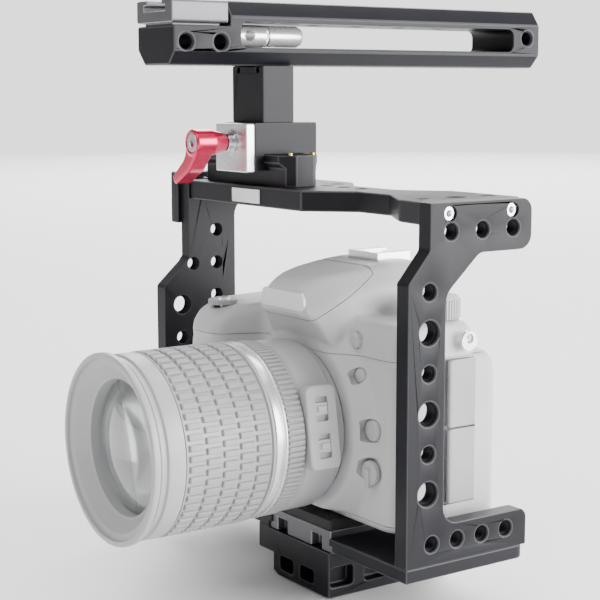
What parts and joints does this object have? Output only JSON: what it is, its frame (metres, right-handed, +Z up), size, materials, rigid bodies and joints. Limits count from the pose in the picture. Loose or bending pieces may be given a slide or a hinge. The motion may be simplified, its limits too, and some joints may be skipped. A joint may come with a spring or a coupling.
{
  "type": "camera cage rig",
  "caption": "Machined camera cage with a clamp-on slotted top handle, holding a reflex camera and zoom lens on a sliding quick-release plate.",
  "frame": {"origin": "mouth of the 1/4 inch tripod socket, on the underside of the base block and under the lens axis", "axes": "+Z up, the lens looks along -Y, +X towards the camera's port side"},
  "size_m": [0.196, 0.269, 0.2515],
  "materials": {
    "black_anodised": "satin anodised",
    "grey_anodised": "satin anodised",
    "silver_anodised": "brushed",
    "red_anodised": "gloss anodised",
    "steel": "polished",
    "brass": "satin",
    "badge": "gloss",
    "black_rubber": "matte",
    "camera_shell": "fine texture",
    "grey_rubber": "ribbed matte",
    "camera_controls": "satin",
    "lens_shell": "fine texture",
    "lens_glass": "coated",
    "screen": "gloss",
    "mirror": "polished"
  },
  "bodies": {
    "cage": {"base_plate": "black_anodised", "base_block": "black_anodised", "port_side_plate": "black_anodised", "grip_side_plate": "black_anodised", "top_plate": "black_anodised", "cage_screws": "steel", "accessory_block": "black_anodised", "name_badge": "badge", "accessory_rail": "black_anodised", "rail_screws": "steel", "rail_stop_pins": "brass"},
    "handle": {"clamp_block": "black_anodised", "clamp_plate": "silver_anodised", "lever_washers": "steel", "handle_post": "black_anodised", "handle_screws": "steel", "handle_body": "black_anodised", "cold_shoe": "grey_anodised"},
    "lever": {"clamp_lever": "red_anodised", "clamp_stud": "steel", "lever_screw": "steel"},
    "pad": {"clamp_pad": "brass"},
    "slot_screw": {"accessory_screw": "steel"},
    "knob": {"lock_knob": "black_anodised"},
    "gib": {"lock_gib": "brass"},
    "camera": {"quick_release_plate": "grey_anodised", "quick_release_pad": "black_rubber", "camera_screw": "steel", "camera_front_shell": "camera_shell", "camera_rear_shell": "camera_shell", "camera_bottom_cover": "camera_shell", "camera_top_cover": "camera_shell", "hot_shoe": "steel", "lens_mount_ring": "steel", "mirror_box": "camera_shell", "image_sensor": "screen", "rear_screen": "screen", "eyecup": "black_rubber", "strap_lugs": "steel", "lens_barrel": "lens_shell"},
    "flash": {"flash_head": "camera_shell"},
    "mirror": {"reflex_mirror": "mirror"},
    "door_upper": {"port_door_upper": "grey_rubber"},
    "door_lower": {"port_door_lower": "grey_rubber"},
    "shutter": {"shutter_button": "camera_controls"},
    "power": {"power_ring": "camera_controls"},
    "mode": {"mode_dial": "camera_controls"},
    "command": {"command_dial": "camera_controls"},
    "flash_key": {"flash_button": "camera_controls"},
    "bracket_key": {"bracket_button": "camera_controls"},
    "release_key": {"lens_release_button": "camera_controls"},
    "selector": {"focus_selector": "camera_controls"},
    "rear_keys": {"rear_buttons": "camera_controls"},
    "rear_pad": {"rear_selector": "camera_controls"},
    "focus": {"focus_ring": "grey_rubber"},
    "zoom": {"zoom_ring": "grey_rubber"},
    "front": {"front_barrel": "lens_shell", "lens_glass": "lens_glass"},
    "af_switch": {"autofocus_switch": "camera_controls"},
    "vr_switch": {"stabiliser_switch": "camera_controls"}
  },
  "joints": [
    {"name": "handle_slide", "type": "slide", "parent": "cage", "child": "handle", "axis": [1, 0, 0], "range_m": [-0.027, 0.0125]},
    {"name": "lever_turn", "type": "hinge", "parent": "handle", "child": "lever", "pos_m": [-0.06, -0.046, 0.1896], "axis": [0, -1, 0], "range_deg": [-20, 300]},
    {"name": "pad_slide", "type": "slide", "parent": "handle", "child": "pad", "axis": [0, 0, 1], "range_m": [-0.00005, 0.0005]},
    {"name": "slot_screw_turn", "type": "hinge", "parent": "handle", "child": "slot_screw", "pos_m": [-0.06, -0.02, 0.2368], "axis": [0, 1, 0], "continuous": true},
    {"name": "knob_turn", "type": "hinge", "parent": "cage", "child": "knob", "pos_m": [-0.04, 0, 0.0132], "axis": [1, 0, 0], "range_deg": [-720, 0]},
    {"name": "gib_slide", "type": "slide", "parent": "cage", "child": "gib", "axis": [1, 0, 0], "range_m": [-0.001, 0]},
    {"name": "camera_slide", "type": "slide", "parent": "cage", "child": "camera", "axis": [0, 1, 0], "range_m": [-0.045, 0.0055]},
    {"name": "flash_lift", "type": "hinge", "parent": "camera", "child": "flash", "pos_m": [0, -0.008, 0.1373], "axis": [-1, 0, 0], "range_deg": [0, 40]},
    {"name": "mirror_flip", "type": "hinge", "parent": "camera", "child": "mirror", "pos_m": [0, 0.0105, 0.0877], "axis": [-1, 0, 0], "range_deg": [0, 44], "stiffness_Nm_per_rad": 0.01},
    {"name": "door_upper_open", "type": "hinge", "parent": "camera", "child": "door_upper", "pos_m": [0.058, 0.0056, 0.09], "axis": [0, 0, -1], "range_deg": [0, 120]},
    {"name": "door_lower_open", "type": "hinge", "parent": "camera", "child": "door_lower", "pos_m": [0.058, 0.0056, 0.06], "axis": [0, 0, -1], "range_deg": [0, 120]},
    {"name": "shutter_press", "type": "slide", "parent": "camera", "child": "shutter", "axis": [0, 0, -1], "range_m": [0, 0.0008], "stiffness_N_per_m": 300},
    {"name": "power_turn", "type": "hinge", "parent": "camera", "child": "power", "pos_m": [-0.057, -0.032, 0.1168], "axis": [0, 0, 1], "range_deg": [0, 35]},
    {"name": "mode_turn", "type": "hinge", "parent": "camera", "child": "mode", "pos_m": [0.044, 0.009, 0.1195], "axis": [0, 0, 1], "continuous": true},
    {"name": "command_turn", "type": "hinge", "parent": "camera", "child": "command", "pos_m": [-0.058, 0.0278, 0.097], "axis": [0, 0, 1], "continuous": true},
    {"name": "flash_key_press", "type": "slide", "parent": "camera", "child": "flash_key", "axis": [0, 1, 0], "range_m": [0, 0.001], "stiffness_N_per_m": 300},
    {"name": "bracket_key_press", "type": "slide", "parent": "camera", "child": "bracket_key", "axis": [0, 1, 0], "range_m": [0, 0.001], "stiffness_N_per_m": 300},
    {"name": "release_key_press", "type": "slide", "parent": "camera", "child": "release_key", "axis": [0, 1, 0], "range_m": [0, 0.0014], "stiffness_N_per_m": 300},
    {"name": "selector_turn", "type": "hinge", "parent": "camera", "child": "selector", "pos_m": [0.043, -0.022, 0.0582], "axis": [0, -1, 0], "range_deg": [-20, 20]},
    {"name": "rear_keys_press", "type": "slide", "parent": "camera", "child": "rear_keys", "axis": [0, -1, 0], "range_m": [0, 0.0008], "stiffness_N_per_m": 300},
    {"name": "rear_pad_press", "type": "slide", "parent": "camera", "child": "rear_pad", "axis": [0, -1, 0], "range_m": [0, 0.0008], "stiffness_N_per_m": 300},
    {"name": "focus_turn", "type": "hinge", "parent": "camera", "child": "focus", "pos_m": [0, -0.06, 0.0727], "axis": [0, -1, 0], "range_deg": [-60, 60]},
    {"name": "zoom_turn", "type": "hinge", "parent": "camera", "child": "zoom", "pos_m": [0, -0.08, 0.0727], "axis": [0, -1, 0], "range_deg": [0, 80]},
    {"name": "front_extend", "type": "slide", "parent": "camera", "child": "front", "axis": [0, -1, 0], "range_m": [0, 0.03001]},
    {"name": "af_switch_slide", "type": "slide", "parent": "camera", "child": "af_switch", "axis": [-0.1564, 0, 0.9877], "range_m": [-0.002, 0.002]},
    {"name": "vr_switch_slide", "type": "slide", "parent": "camera", "child": "vr_switch", "axis": [-0.1564, 0, 0.9877], "range_m": [-0.002, 0.002]}
  ],
  "couplings": [
    {"joint": "pad_slide", "follows": "lever_turn", "m_per_rad": 0.000076394},
    {"joint": "gib_slide", "follows": "knob_turn", "m_per_rad": 0.000079577},
    {"joint": "front_extend", "follows": "zoom_turn", "m_per_rad": 0.021486}
  ]
}
